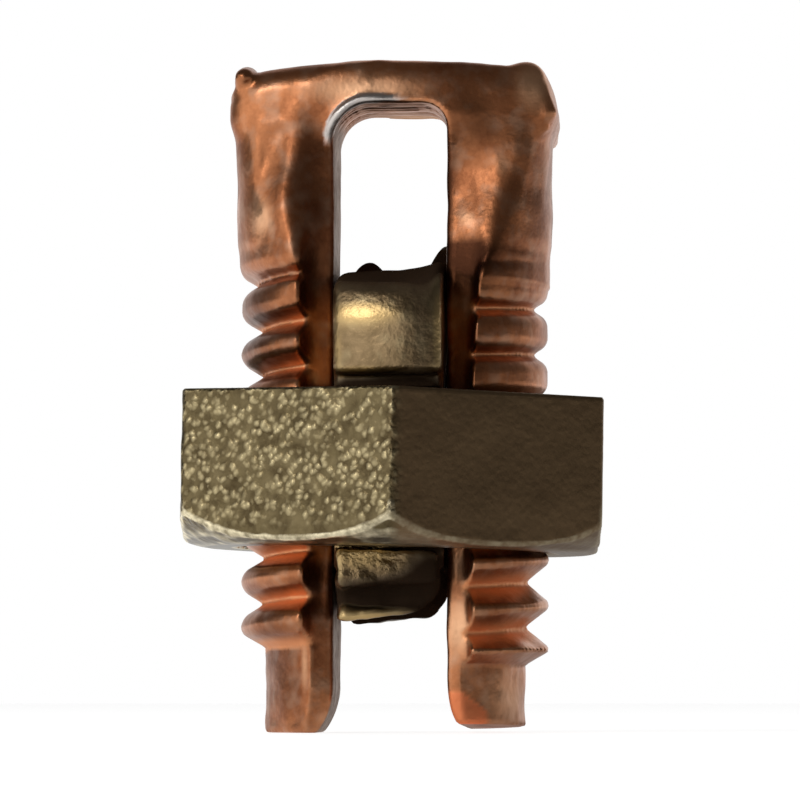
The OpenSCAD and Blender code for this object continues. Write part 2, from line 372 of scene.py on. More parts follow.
def head_front(x):
    """Depth of the head's front, which falls away to both sides."""
    fall = FRONT_FALL * np.logaddexp(0, (FRONT_MIDDLE - x) / FRONT_SOFT)
    left_bend = FRONT_LEFT_BEND * np.maximum(FRONT_LEFT - x, 0) ** 2
    right_bend = FRONT_RIGHT_BEND * np.maximum(x - FRONT_RIGHT, 0) ** 2
    return FRONT_Y - fall - left_bend - right_bend


def slot_shoulder(x, depth, z, from_slot):
    """Metal beside the slot: a shoulder below the thread along each leg, which widens up to the head."""
    width = two_sided(x, along(z, SHOULDER_W_LEFT), along(z, SHOULDER_W_RIGHT))
    left_y = along(z, SHOULDER_Y_LEFT) + SHOULDER_SLOPE_LEFT * from_slot
    right_y = along(z, SHOULDER_Y_RIGHT) + along(z, SHOULDER_SLOPE_RIGHT) * from_slot
    top = two_sided(x, ease(*ARCH_LEFT_RUN, z), ease(*ARCH_RIGHT_RUN, z))
    floor = two_sided(x, left_y, right_y) * (1 - top) + head_front(x) * top
    head = ease(*HEAD_RUN, z)
    lean = along(z, RIDGE_LEAN)
    round_edge = np.sqrt(THREAD_R ** 2 - (SLOT_HALF + np.minimum(width, RIDGE_MOST)) ** 2)
    edge = RIDGE_Y * (1 - head) + round_edge * head
    ridge = (width - from_slot - lean * (edge - depth)) / np.hypot(1, lean)
    fillet = np.where(x < 0, FILLET_LEFT, FILLET_RIGHT) * (1 - head) + FILLET_HEAD * head
    return soft_seam(ridge, (depth - floor) * SHOULDER_COS, fillet), floor


def ear_distance(x, z, ear):
    """Distance from a rounded bar, seen along the wires."""
    (top_x, top_z), (low_x, low_z), radius = ear
    run_x = low_x - top_x
    run_z = low_z - top_z
    share = np.clip(((x - top_x) * run_x + (z - top_z) * run_z) / (run_x ** 2 + run_z ** 2), 0, 1)
    return np.hypot(x - top_x - share * run_x, z - top_z - share * run_z) - radius


def with_ears(body, x, y, z):
    """The head with the upset ears at both ends of its crown."""
    drop = np.where(x < 0, EAR_DROP_LEFT, EAR_DROP_RIGHT) * y ** 2
    ear = np.minimum(ear_distance(x, z + drop, EAR_LEFT), ear_distance(x, z + drop, EAR_RIGHT))
    half = np.where(x < 0, EAR_HALF_LEFT + ease(*EAR_GROW_RUN, z), EAR_HALF_RIGHT)
    end = np.abs(y) - half - EAR_SKEW * np.maximum(x - EAR_SKEW_X, 0)
    seam = np.where(x < 0, EAR_SEAM_LEFT + EAR_SEAM_LOW * ease(*EAR_SEAM_RUN, z), EAR_SEAM_RIGHT)
    return soft_seam(body, soft_corner(ear, end, EAR_ROUND), seam)


def bolt_groove(x, y, z):
    """Distance from the thread's groove, worn shallow at the upper right and wide at the lower right."""
    offset, past = thread_place(x, y, z, 0)
    right = ease(*RIGHT_SIDE, x)
    left = ease(*LEFT_SIDE, x)
    fill = np.clip(past / RUNOUT_TURNS, 0, RUNOUT_MOST) * RUNOUT_LIFT
    fill = fill + END_FILL * ease(*END_RUN, z) + RIGHT_FILL * right * ease(*RIGHT_RUN, z)
    fill = fill + LEFT_FILL * left * ease(*LEFT_RUN, z)
    flank = FLANK + FLANK_WORN * right * ease(*FLANK_RUN, z)
    up_flank = (np.hypot(offset, ROOT_ROUND) - ROOT_ROUND) / flank
    return (np.hypot(x, y) - ROOT_R - fill - up_flank) * FLANK_COS


def threaded(body, x, y, z):
    """The legs with their thread and their plain ends."""
    radius = np.hypot(x, y)
    crest = radius - CREST_R - CREST_OPEN * ease(*CREST_OPEN_RUN, z)
    body = soft_corner(body, crest, CREST_EDGE)
    right_round = CREST_ROUND_RIGHT + CREST_ROUND_WORN * ease(*RIGHT_RUN, z)
    body = soft_corner(body, bolt_groove(x, y, z), np.where(x < 0, CREST_ROUND_LEFT, right_round))
    pilot_len = np.where(x < 0, PILOT_LEFT, PILOT_RIGHT)
    pilot = radius - PILOT_R - np.maximum(z - pilot_len, 0) * (THREAD_R - PILOT_R) / PILOT_RISE
    body = soft_corner(body, pilot * PILOT_SLOPE, PILOT_ROUND)
    bevel = (np.abs(y) - LEG_FRONT + BEVEL_W) * BEVEL_H - z * BEVEL_W
    return soft_corner(body, bevel / math.hypot(BEVEL_H, BEVEL_W), BEVEL_ROUND)


def edge_bead(x, z, depth, from_slot, floor):
    """Distance from the bead along the front edge of the slot, over the left half of the arch."""
    size = BEAD_R * ease(*BEAD_RUN, z) * ease(*BEAD_SIDES, x)
    return np.hypot(from_slot - BEAD_IN, depth - floor - BEAD_OUT) - size


def forged(x, y, z):
    """Ridges that the forging left on the head, turned half round for the back."""
    return spots(np.where(y < 0, x, -x), z, FORGE_MARKS)


def bolt_field(x, y, z):
    depth = np.abs(y)
    from_slot = slot_distance(x, y, z)
    bow = BOW_IN * ease(*BOW_RUN, z)
    outside = np.hypot(np.maximum(from_slot, 0) + SLOT_HALF, y) - THREAD_R + bow
    cheeks = soft_corner(np.abs(x) - HEAD_W / 2, depth - head_front(x), CHEEK_ROUND)
    taper = np.hypot(x, y) - THREAD_R + TAPER_IN - TAPER * (z - FLAT_Z)
    block = soft_corner(cheeks, taper, TAPER_ROUND)
    block = soft_corner(block, FLAT_Z - z, FLAT_ROUND)
    body = soft_seam(outside, block, HEAD_SEAM)
    shoulder, floor = slot_shoulder(x, depth, z, from_slot)
    body = soft_corner(body, shoulder, along(z, SHOULDER_ROUND))
    waves = sum(share * np.sin(rate * y + start) for share, rate, start in RIPPLE_WAVES)
    ripple = RIPPLE * ease(*RIPPLE_RUN, z) * waves
    body = soft_corner(body, ripple - from_slot, SLOT_ROUND)
    crown = z - CROWN_Z - CROWN_BULGE + x ** 2 / (2 * CROWN_R)
    body = soft_corner(body, crown, CROWN_ROUND)
    body = soft_seam(body, edge_bead(x, z, depth, from_slot, floor), BEAD_SEAM)
    body = threaded(with_ears(body, x, y, z), x, y, z)
    body = body - forged(x, y, z) + uneven(x, y, z, BOLT_DENTS)
    tip = np.where(x > 0, RIGHT_TIP - TIP_LEAN * y, 0)
    return soft_corner(body, tip - z, TIP_ROUND)


# Nut

def shaded_half_of(x, y):
    """1 on the nut's half turned away from the light and 0 on its lit half; they meet at two corners."""
    return ease(*SHADED_HALF_RUN, x * math.cos(NUT_TURN) + y * math.sin(NUT_TURN))


def nut_field(x, y, z):
    radius = np.hypot(x, y)
    height = nut_high[2] - nut_low[2]
    middle = (nut_low[2] + nut_high[2]) / 2
    across = x * math.cos(NUT_LEAN) - (z - middle) * math.sin(NUT_LEAN) + NUT_OFFSET
    up = (z - middle) * math.cos(NUT_LEAN) + x * math.sin(NUT_LEAN) + height / 2
    body = None
    for side in range(3):
        angle = NUT_TURN + side * math.pi / 3
        faces = np.abs(across * math.cos(angle) + y * math.sin(angle)) - NUT_AF / 2
        body = faces if body is None else soft_corner(body, faces, NUT_EDGE)
    chamfer = (radius - NUT_CHAMFER_R) * math.sin(NUT_CHAMFER) - up * math.cos(NUT_CHAMFER)
    body = soft_corner(body, chamfer, NUT_CHAMFER_ROUND)
    corner_up = up - (NUT_CORNER_R - NUT_CHAMFER_R) * math.tan(NUT_CHAMFER)
    corner = (radius - NUT_CORNER_R) * math.sin(NUT_CORNER) - corner_up * math.cos(NUT_CORNER)
    body = soft_corner(body, corner, NUT_CORNER_ROUND)
    grain = (1 - SHADED_HALF_SMOOTH * shaded_half_of(x, y)) * uneven(x, y, z, NUT_GRAIN)
    body = body + grain + uneven(x, y, z, NUT_WAVES)
    inward = height / 2 - np.abs(up - height / 2)
    body = soft_corner(body, -inward, NUT_END_ROUND)
    offset, _ = thread_place(x, y, z, PITCH / 2)
    groove_r = THREAD_R + THREAD_CLEAR - np.maximum(np.abs(offset) - NUT_ROOT, 0) / FLANK
    bore = np.maximum(groove_r, NUT_BORE_R) - radius
    body = soft_corner(body, bore * FLANK_COS, NUT_BORE_EDGE)
    sink = NUT_BORE_R + NUT_SINK - inward - radius
    return soft_corner(body, sink * math.sqrt(0.5), NUT_SINK_EDGE)


# Pressure bar

def jaw_field(x, y, z):
    """The jaw over the nut, with a hollow along its top and burrs at its back."""
    half_w = BAR_W / 2
    hollow = JAW_HOLLOW * (1 - np.where(x > 0, 1, JAW_HOLLOW_LEFT) * (x / half_w) ** 2)
    saddle = JAW_TOP - JAW_FALL * (2 * y / BAR_LEN) ** 2 - hollow
    over_band = np.hypot(np.maximum(z - JAW_BAND, 0), JAW_BAND_SOFT) - JAW_BAND_SOFT
    lean = JAW_LEAN * np.maximum(over_band, 0)
    end = np.abs(y) - BAR_LEN / 2 + JAW_CONVEX * (x - JAW_NOSE_X) ** 2 + lean
    jaw = soft_corner(np.abs(x) - half_w, end, JAW_ROUND)
    burr = BURR_LEFT * np.exp(-((x - BURR_LEFT_X) / BURR_LEFT_REACH) ** 2)
    burr = (burr + BURR_RIGHT * ease(*BURR_RIGHT_RUN, x)) * ease(*BURR_DEPTHS, y)
    jaw = soft_corner(jaw, z - saddle - burr, JAW_ROUND)
    return soft_corner(jaw, JAW_Z - z, JAW_LOW_ROUND)


def foot_field(x, y, z):
    """The foot under the nut: its staked lip, a waist and a rim, with the lower right corner cut off."""
    depth = np.abs(y)
    lip_r = LIP_H / 2
    rim_r = RIM_H / 2
    lip_top = LIP_TOP - LIP_BACK * ease(*LIP_BACK_RUN, y)
    upright = np.maximum(np.abs(z - lip_top + lip_r) - lip_r + LIP_ROUND, 0)
    lip = np.hypot(np.maximum(depth - NECK_R - LIP_OUT + LIP_ROUND, 0), upright) - LIP_ROUND
    rim = np.hypot(np.maximum(depth - NECK_R + rim_r, 0), z - FOOT_Z - rim_r) - rim_r
    middle = (LIP_TOP + FOOT_Z) / 2
    waist = np.maximum(depth - NECK_R + WAIST, np.abs(z - middle) - WAIST_HALF)
    foot = soft_seam(soft_seam(lip, waist, WAIST_SEAM), rim, RIM_SEAM) + FOOT_SKEW * x
    foot = soft_corner(foot, np.abs(x) - FOOT_W / 2, FOOT_ROUND)
    inner = np.maximum(FOOT_FRONT - depth, 0)
    cut = FOOT_CUT[0] * (x - FOOT_CUT_X) + FOOT_CUT[1] * (z - FOOT_CUT_Z) + FOOT_CUT_IN * inner
    foot = soft_corner(foot, cut, FOOT_CUT_ROUND)
    low = FOOT_Z + FOOT_TILT * (x - FOOT_TILT_X) + FOOT_RISE * inner
    foot = soft_corner(foot, low - z, FOOT_LOW_ROUND)
    rough = ease(*FOOT_ROUGH_RUN, z) * ease(*FOOT_ROUGH_SIDES, x)
    grain = (FOOT_GRAIN_LOW + FOOT_GRAIN_MORE * rough) * uneven(x, y, z, FOOT_GRAIN)
    foot = foot + uneven(x, y, z, FOOT_LUMPS) + grain
    return soft_corner(foot, z - lip_top, LIP_EDGE)


def bar_field(x, y, z):
    end = np.abs(y) - BAR_LEN / 2 + PAD_SETBACK
    pad = soft_corner(np.abs(x) - FOOT_W / 2, end, PAD_ROUND)
    pad = np.maximum(pad, np.maximum(z - PAD_HIGH, PAD_LOW - z))
    neck = soft_corner(np.abs(x) - BAR_W / 2, np.hypot(x, y) - NECK_R, NECK_ROUND)
    neck = np.maximum(neck, np.maximum(z - NECK_HIGH, NECK_LOW - z))
    upper = soft_seam(jaw_field(x, y, z), pad, PAD_SEAM)
    lower = soft_seam(neck, foot_field(x, y, z), FOOT_SEAM)
    return soft_seam(upper, lower, BAR_SEAM) + uneven(x, y, z, BAR_DENTS)


# Skinning a field

SLOPE_STEP = 0.02
SLOPE_LEAST = 0.15
SETTLE_PASSES = 3


def slope_of(field, points, step):
    """Gradient of the field at some points."""
    columns = []
    for axis in range(3):
        shift = np.zeros(3)
        shift[axis] = step
        ahead = field(*(points + shift).T)
        behind = field(*(points - shift).T)
        columns.append((ahead - behind) / (2 * step))
    return np.stack(columns, 1)


def skin(field, low, high, cell):
    """Points and four-sided faces of the surface where the field is zero."""
    axes = [np.arange(a - 1.5 * cell, b + 2.5 * cell, cell) for a, b in zip(low, high)]
    values = field(*np.meshgrid(*axes, indexing="ij"))
    inside = values < 0
    corners = list(itertools.product((0, 1), repeat=3))

    def corner_of(grid, corner):
        return grid[tuple(slice(step, step - 1 or None) for step in corner)]

    filled = sum(corner_of(inside, corner).astype(np.int8) for corner in corners)
    mixed = (filled > 0) & (filled < 8)
    number = np.full(mixed.shape, -1, np.int64)
    number[mixed] = np.arange(mixed.sum())
    level = {corner: corner_of(values, corner)[mixed] for corner in corners}
    total = np.zeros((mixed.sum(), 3))
    hits = np.zeros(mixed.sum())
    for one, other in itertools.combinations(corners, 2):
        step = np.subtract(other, one)
        if np.abs(step).sum() != 1:
            continue
        crossing = (level[one] < 0) != (level[other] < 0)
        gap = np.where(crossing, level[one] - level[other], 1)
        share = np.where(crossing, level[one] / gap, 0)
        total += crossing[:, None] * (np.array(one) + share[:, None] * step)
        hits += crossing
    base = np.stack([axis[index] for axis, index in zip(axes, np.nonzero(mixed))], 1)
    points = base + cell * total / hits[:, None]

    for _ in range(SETTLE_PASSES):
        slope = slope_of(field, points, SLOPE_STEP)
        length = np.maximum((slope ** 2).sum(1), SLOPE_LEAST)
        move = slope * (field(*points.T) / length)[:, None]
        points = points - np.clip(move, -cell / 2, cell / 2)

    faces = []
    for axis in range(3):
        others = [a for a in range(3) if a != axis]
        near = [slice(1, -1)] * 3
        near[axis] = slice(None, -1)
        far = list(near)
        far[axis] = slice(1, None)
        start = inside[tuple(near)]
        crossing = start != inside[tuple(far)]
        place = np.array(np.nonzero(crossing))
        for a in others:
            place[a] += 1
        ring = []
        for back in ((1, 1), (0, 1), (0, 0), (1, 0)):
            cell_place = place.copy()
            for a, step in zip(others, back):
                cell_place[a] -= step
            ring.append(number[tuple(cell_place)])
        quads = np.stack(ring, 1)
        turned = start[crossing] == (axis == 1)
        quads[turned] = quads[turned, ::-1]
        faces.append(quads)
    return points, np.concatenate(faces)


def bend_of(field, points, reach):
    """Bend of the surface, positive on outer edges and negative in creases."""
    total = -6 * field(*points.T)
    for axis in range(3):
        shift = np.zeros(3)
        shift[axis] = reach
        total = total + field(*(points + shift).T) + field(*(points - shift).T)
    return total / reach


def make_piece(name, field, low, high, cell, marks):
    """Mesh object of a field, with a value at each point for every mark."""
    points, faces = skin(field, low, high, cell)
    mesh = bpy.data.meshes.new(name)
    mesh.vertices.add(len(points))
    mesh.vertices.foreach_set("co", (points * MM).astype(np.float32).ravel())
    mesh.loops.add(faces.size)
    mesh.loops.foreach_set("vertex_index", faces.astype(np.int32).ravel())
    mesh.polygons.add(len(faces))
    mesh.polygons.foreach_set("loop_start", np.arange(0, faces.size, 4, dtype=np.int32))
    mesh.polygons.foreach_set("use_smooth", np.ones(len(faces), bool))
    mesh.update(calc_edges=True)
    mesh.validate()
    for mark, measure in marks.items():
        values = mesh.attributes.new(mark, "FLOAT", "POINT")
        values.data.foreach_set("value", measure(points).astype(np.float32))
    piece = bpy.data.objects.new(name, mesh)
    bpy.context.scene.collection.objects.link(piece)
    return piece


def place_piece(piece, body, node, material):
    """Puts a piece in the place of its plain solid."""
    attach(piece, body)
    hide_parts(node)
    piece.data.materials.append(material)


# Marks for the finish

# Painted highlights, painted shade and shadow, and tarnish: place and reach across and up, in millimetres,
# and strength; above 0 a painted highlight with rubbed metal, below 0 painted shade and shadow with tarnish
BOLT_LIGHT_AND_TARNISH = (
    (-5.4, 31.0, 1.2, 0.9, -0.15), (-1.2, 32.2, 2.6, 0.6, 1.0), (-5.8, 29.0, 1.8, 1.8, -0.4),
    (-6.5, 25.8, 0.5, 0.9, 1.0), (-7.5, 33.0, 0.7, 0.6, -0.5), (4.4, 30.2, 2.0, 0.9, -0.55),
    (4.9, 26.9, 1.5, 2.0, -0.4), (5.6, 28.3, 0.5, 0.9, 0.45), (3.9, 25.7, 0.5, 0.5, 0.7),
    (3.2, 28.2, 0.6, 1.5, -0.4), (3.5, 5.2, 0.8, 1.2, 1.0), (3.7, 8.4, 0.6, 0.7, 1.0),
    (4.5, 32.3, 3.0, 1.2, -0.25), (7.4, 27.0, 0.8, 3.0, -0.5), (7.2, 32.4, 0.9, 1.2, 1.0),
    (4.0, 23.4, 1.8, 1.3, -1.0), (-3.9, 26.0, 0.9, 4.0, -0.45), (-3.4, 20.0, 0.7, 4.0, -0.4),
    (4.1, 19.5, 0.8, 3.4, -0.5), (3.7, 24.0, 1.4, 0.6, -0.8), (-7.0, 20.4, 1.4, 2.6, -0.8),
    (-4.7, 20.6, 0.8, 2.4, -0.3), (-6.0, 5.0, 2.0, 3.5, -0.4), (3.0, 27.0, 0.3, 2.5, -0.6),
    (-4.25, 3.4, 0.2, 1.4, 0.8), (-5.0, 0.4, 3.0, 0.6, 0.15), (-5.6, 2.4, 1.4, 1.6, -0.2),
    (5.8, 1.6, 1.2, 1.4, 0.6),
)
BAR_LIGHT_AND_TARNISH = (
    (-1.35, 20.7, 1.6, 0.5, 1.0), (0.0, 22.9, 6.0, 1.1, -1.2), (0.0, 24.6, 6.0, 1.4, -1.2),
    (1.7, 20.0, 0.7, 3.0, -0.4), (2.6, 20.3, 0.3, 2.5, 0.7), (-2.5, 18.8, 0.2, 1.0, 0.5),
    (-1.4, 17.8, 1.3, 0.25, 0.8), (-0.9, 5.7, 1.6, 0.35, 0.8), (0.0, 17.0, 4.0, 0.7, -1.6),
    (1.6, 6.8, 2.0, 1.1, -1.0), (-0.8, 7.05, 2.2, 0.65, -1.1), (2.2, 8.0, 1.2, 1.6, -1.0),
    (-1.2, 8.9, 1.7, 0.8, 0.6), (2.0, 9.4, 1.6, 0.4, -0.9),
)

# Where each mark fades, in millimetres
BEND_REACH = 0.22
FRONT_BLEND = (2.5, -2.5)
# Painted shade on the underside of the bar's foot, where the nut and the legs keep the light off
UNDER_SHADE = 1.5
UNDER_SHADE_DEPTHS = (6.7, 6)
UNDER_SHADE_RUN = (9, 8)
PITS_LEAST = 0.12
PITS_RUN = (6.8, 7.6)
PITS_END = (11, 10)
PITS_SIDES = (1.6, 0)
PITS_JAW = 0.25
PITS_JAW_RUN = (17, 18)
GRIT_RUN = (0.8, 1.5)
NUT_BEND_TOP = 0.25
NUT_BEND_RUN = (1.2, 2.4)
WALL_RUN = (0.3, 0.1)
WALL_DEPTHS = (0.05, 0.25)
WALL_ARCH = 0.85
WALL_ARCH_RUN = (30.2, 31)
BEAD_MARK = (0.12, 0.03)
BEAD_MARK_RUN = (29.3, 30)
BEAD_MARK_SIDES = (1.2, 0)
GROOVE_NEAR = (0.14, 0.04)
GROOVE_DEPTHS = (0.3, 1)
GROOVE_UPPER = 0.3
GROOVE_UPPER_RUN = (14, 17)
GROOVE_LEFT = 0.2
CUT_X = 3.9
CUT_Z = 1.85
CUT_SLOPE = 1.25
CUT_EDGE = (0.12, -0.12)
CUT_SIDES = (2.6, 2.9)
CUT_RUN = (2.2, 2.0)
CUT_DEPTHS = (-4.2, -4.6)


def light_and_tarnish_of(points, tones):
    """Painted light and tarnish on the ends of a piece: above 0 a painted highlight with rubbed metal, below
    0 painted shade and shadow with dark tarnish.
    """
    x, y, z = points.T
    front = ease(*FRONT_BLEND, y)
    return np.clip(front * spots(x, z, tones) + (1 - front) * spots(-x, z, tones), -1, 1)


def bar_light_and_tarnish(points):
    """Painted light and tarnish of the bar, with painted shade on the underside of its foot."""
    # Painted shade under the foot
    under = ease(*UNDER_SHADE_DEPTHS, np.abs(points[:, 1])) * ease(*UNDER_SHADE_RUN, points[:, 2])
    return np.maximum(light_and_tarnish_of(points, BAR_LIGHT_AND_TARNISH) - UNDER_SHADE * under, -1)


def pits_of(points):
    """1 on the rough upper part of the bar's foot and less elsewhere."""
    x, y, z = points.T
    foot = ease(*PITS_RUN, z) * ease(*PITS_END, z) * ease(*PITS_SIDES, np.where(y < 0, x, -x))
    return PITS_LEAST + (1 - PITS_LEAST) * foot + PITS_JAW * ease(*PITS_JAW_RUN, z)


def lit_grit_of(points):
    """1 on the blasted skin of the nut's lit half, where glints are painted, and 0 on its shaded half and
    its chamfer.
    """
    x, y, z = points.T
    return (1 - shaded_half_of(x, y)) * ease(*GRIT_RUN, z - nut_low[2])


def nut_bend(points):
    """Bend of the nut, weaker on its upper and upright edges, so that the rim's painted highlight and wear
    sit mostly on its lower edges.
    """
    below = (nut_low[2] + nut_high[2]) / 2 - points[:, 2]
    share = NUT_BEND_TOP + (1 - NUT_BEND_TOP) * ease(*NUT_BEND_RUN, below)
    return bend_of(nut_field, points, BEND_REACH) * share


def slot_marks(points):
    """1 on the walls of the slot and 0 on the faces round it."""
    x, y, z = points.T
    depth = np.abs(y)
    from_slot = slot_distance(x, y, z)
    floor = slot_shoulder(x, depth, z, from_slot)[1]
    wall = ease(*WALL_RUN, from_slot) * ease(*WALL_DEPTHS, floor - depth)
    return wall * (1 - WALL_ARCH * ease(*WALL_ARCH_RUN, z))


def bead_marks(points):
    """1 on the bead along the slot's front edge."""
    x, y, z = points.T
    depth = np.abs(y)
    from_slot = slot_distance(x, y, z)
    floor = slot_shoulder(x, depth, z, from_slot)[1]
    near = ease(*BEAD_MARK, edge_bead(x, z, depth, from_slot, floor))
    return near * ease(*BEAD_MARK_RUN, z) * ease(*BEAD_MARK_SIDES, x)


def groove_marks(points):
    """1 at the bottom of the thread's groove and 0 on its crests."""
    x, y, z = points.T
    near = ease(*GROOVE_NEAR, np.abs(bolt_groove(x, y, z)))
    front = ease(*FRONT_BLEND, y)
    left = np.where(x < 0, front, 1 - front)
    radius = np.hypot(x, y) + GROOVE_UPPER * ease(*GROOVE_UPPER_RUN, z) * left
    return near * ease(*GROOVE_DEPTHS, CREST_R - radius) * (1 - GROOVE_LEFT * left)


def cut_marks(points):
    """1 on the fresh cut across the inner corner of the right leg's tip."""
    x, y, z = points.T
    across = np.where(y < 0, x, 0)
    edge = (across - CUT_X) - CUT_SLOPE * (CUT_Z - z)
    inside = ease(*CUT_SIDES, across) * ease(*CUT_EDGE, edge)
    return inside * ease(*CUT_RUN, z) * ease(*CUT_DEPTHS, y)


# Shader helpers

def add_node(tree, kind, **settings):
    made = tree.nodes.new(kind)
    for key, value in settings.items():
        setattr(made, key, value)
    return made


def plug(tree, socket, value):
    """Links another node's output to a socket, or sets the socket to a plain value."""
    if isinstance(value, bpy.types.NodeSocket):
        tree.links.new(value, socket)
    else:
        socket.default_value = value


def feed(tree, target, **sockets):
    """Sets or links a node's inputs by name; underscores stand for spaces."""
    for label, value in sockets.items():
        plug(tree, target.inputs[label.replace("_", " ")], value)
    return target


def new_group(name, inputs, outputs):
    """Empty shader node group; inputs are name: default, outputs are name: kind of socket."""
    tree = bpy.data.node_groups.new(name, "ShaderNodeTree")
    for label, default in inputs.items():
        colour = isinstance(default, tuple)
        kind = "NodeSocketColor" if colour else "NodeSocketFloat"
        tree.interface.new_socket(label, in_out="INPUT", socket_type=kind).default_value = default
    for label, kind in outputs.items():
        tree.interface.new_socket(label, in_out="OUTPUT", socket_type=kind)
    return tree, tree.nodes.new("NodeGroupInput").outputs, tree.nodes.new("NodeGroupOutput")


def use_group(tree, group, **sockets):
    made = add_node(tree, "ShaderNodeGroup", node_tree=group)
    return feed(tree, made, **sockets)


def noise(tree, scale, detail, place):
    """Noise texture over the piece, with its scale in bumps per millimetre."""
    made = add_node(tree, "ShaderNodeTexNoise")
    feed(tree, made, Vector=place, Scale=scale / MM, Detail=detail)
    return made.outputs["Fac"]


def ramp(tree, value, low, high, low_to=0.0, high_to=1.0):
    """Straight rise from low to high, held at both ends."""
    made = add_node(tree, "ShaderNodeMapRange", clamp=True)
    feed(tree, made, Value=value, From_Min=low, From_Max=high, To_Min=low_to, To_Max=high_to)
    return made.outputs["Result"]


def calc(tree, operation, one, other, held=True):
    """Sum, product or the like of two values, held between 0 and 1 unless that is turned off."""
    made = add_node(tree, "ShaderNodeMath", operation=operation, use_clamp=held)
    for socket, value in zip(made.inputs, (one, other)):
        plug(tree, socket, value)
    return made.outputs[0]


def blend_colour(tree, share, one, other):
    """Mix of two colours; a mix node keeps its colour sockets after those of other kinds."""
    made = add_node(tree, "ShaderNodeMix", data_type="RGBA")
    for socket, value in zip((made.inputs[0], made.inputs[6], made.inputs[7]), (share, one, other)):
        plug(tree, socket, value)
    return made.outputs[2]


def mark_value(tree, mark):
    return add_node(tree, "ShaderNodeAttribute", attribute_name=mark).outputs["Fac"]


def piece_place(tree):
    return add_node(tree, "ShaderNodeTexCoord").outputs["Object"]


# Shared effects

def tarnish_group():
    """Colour of old metal: patches of two tones with fine mottling, and a paler bloom here and there."""
    inputs = {
        "Clean": (0.5, 0.25, 0.15, 1),
        "Dull": (0.3, 0.12, 0.06, 1),
        "Bloom": (0.6, 0.4, 0.3, 1),
        "Patch Scale": 0.3,
    }
    outputs = {"Color": "NodeSocketColor", "Dullness": "NodeSocketFloat"}
    tree, given, out = new_group("tarnish", inputs, outputs)
    place = piece_place(tree)
    patch_scale = calc(tree, "MULTIPLY", given["Patch Scale"], 1 / MM, held=False)
    patch = add_node(tree, "ShaderNodeTexNoise")
    feed(tree, patch, Vector=place, Scale=patch_scale, Detail=4.0, Distortion=0.6)
    patches = ramp(tree, patch.outputs["Fac"], 0.38, 0.66)
    mottle = ramp(tree, noise(tree, 4.0, 5.0, place), 0.35, 0.7)
    patches = calc(tree, "MULTIPLY", patches, 0.7)
    dullness = calc(tree, "ADD", patches, calc(tree, "MULTIPLY", mottle, 0.3))
    colour = blend_colour(tree, dullness, given["Clean"], given["Dull"])
    bloom = ramp(tree, noise(tree, 1.0, 2.0, place), 0.48, 0.72, 0.0, 0.55)
    tree.links.new(blend_colour(tree, bloom, colour, given["Bloom"]), out.inputs["Color"])
    tree.links.new(dullness, out.inputs["Dullness"])
    return tree


def edge_wear_group():
    """Mask of rubbed outer edges, broken up by noise."""
    inputs = {"Bend": 0.0, "Start": 0.3, "Full": 1.2, "Break Up": 0.5}
    tree, given, out = new_group("edge_wear", inputs, {"Mask": "NodeSocketFloat"})
    edge = ramp(tree, given["Bend"], given["Start"], given["Full"])
    chips = ramp(tree, noise(tree, 2.2, 4.0, piece_place(tree)), 0.35, 0.65)
    kept = add_node(tree, "ShaderNodeMix", data_type="FLOAT")
    plug(tree, kept.inputs[0], given["Break Up"])
    plug(tree, kept.inputs[2], 1.0)
    plug(tree, kept.inputs[3], chips)
    tree.links.new(calc(tree, "MULTIPLY", edge, kept.outputs[0]), out.inputs["Mask"])
    return tree


def grain_group():
    """Fine relief of a metal skin: pits and bumps of one scale with finer ones on them."""
    inputs = {"Scale": 3.0, "Detail": 3.0}
    tree, given, out = new_group("grain", inputs, {"Height": "NodeSocketFloat"})
    fine = calc(tree, "MULTIPLY", given["Scale"], 1 / MM, held=False)
    made = add_node(tree, "ShaderNodeTexNoise")
    feed(tree, made, Vector=piece_place(tree), Scale=fine, Detail=given["Detail"])
    tree.links.new(made.outputs["Fac"], out.inputs["Height"])
    return tree


TARNISH = tarnish_group()
EDGE_WEAR = edge_wear_group()
GRAIN = grain_group()


# Materials

COPPER_SKIN = {
    "Clean": (0.58, 0.225, 0.095, 1),
    "Dull": (0.3, 0.1, 0.04, 1),
    "Bloom": (0.66, 0.38, 0.24, 1),
    "Patch_Scale": 0.35,
}
# Colours of the painted highlight and of the painted shade and shadow, which also stand for rubbed metal and
# tarnish
COPPER_HIGHLIGHT_AND_CLEAN = (0.9, 0.5, 0.28, 1)
COPPER_SHADE_AND_TARNISH = (0.065, 0.023, 0.011, 1)
COPPER_RUBBED = (0.80, 0.42, 0.23, 1)
COPPER_GROOVE = (0.95, 0.42, 0.19, 1)
COPPER_CUT = (1.0, 0.33, 0.14, 1)
COPPER_RELIEF = 0.015
WALL_PALE = (0.46, 0.34, 0.26, 1)
WALL_STAIN = (0.26, 0.15, 0.1, 1)
# Pale grey of the bead, partly a painted reflection of the pale room along the slot's edge
BEAD_PALE = (0.62, 0.57, 0.53, 1)

NUT_SKIN = {
    "Clean": (0.165, 0.126, 0.062, 1),
    "Dull": (0.062, 0.043, 0.02, 1),
    "Bloom": (0.22, 0.171, 0.088, 1),
    "Patch_Scale": 1.1,
}
# Colour painted on the nut's half that is turned from the light, a separate copy of its brass for the shaded
# side
NUT_SHADED_HALF = (0.21, 0.135, 0.07, 1)
# Colour of the bright dots painted on the nut's lit half as glints
NUT_PAINTED_GLINT = (0.75, 0.62, 0.35, 1)
# Colour of the nut's rubbed lower rim, brightened as a painted highlight
NUT_RUBBED_AND_HIGHLIGHT = (1.0, 0.88, 0.6, 1)
NUT_GRIT_PER_MM = 2.7
NUT_GRIT_BEND = 0.35
NUT_RELIEF = 0.07

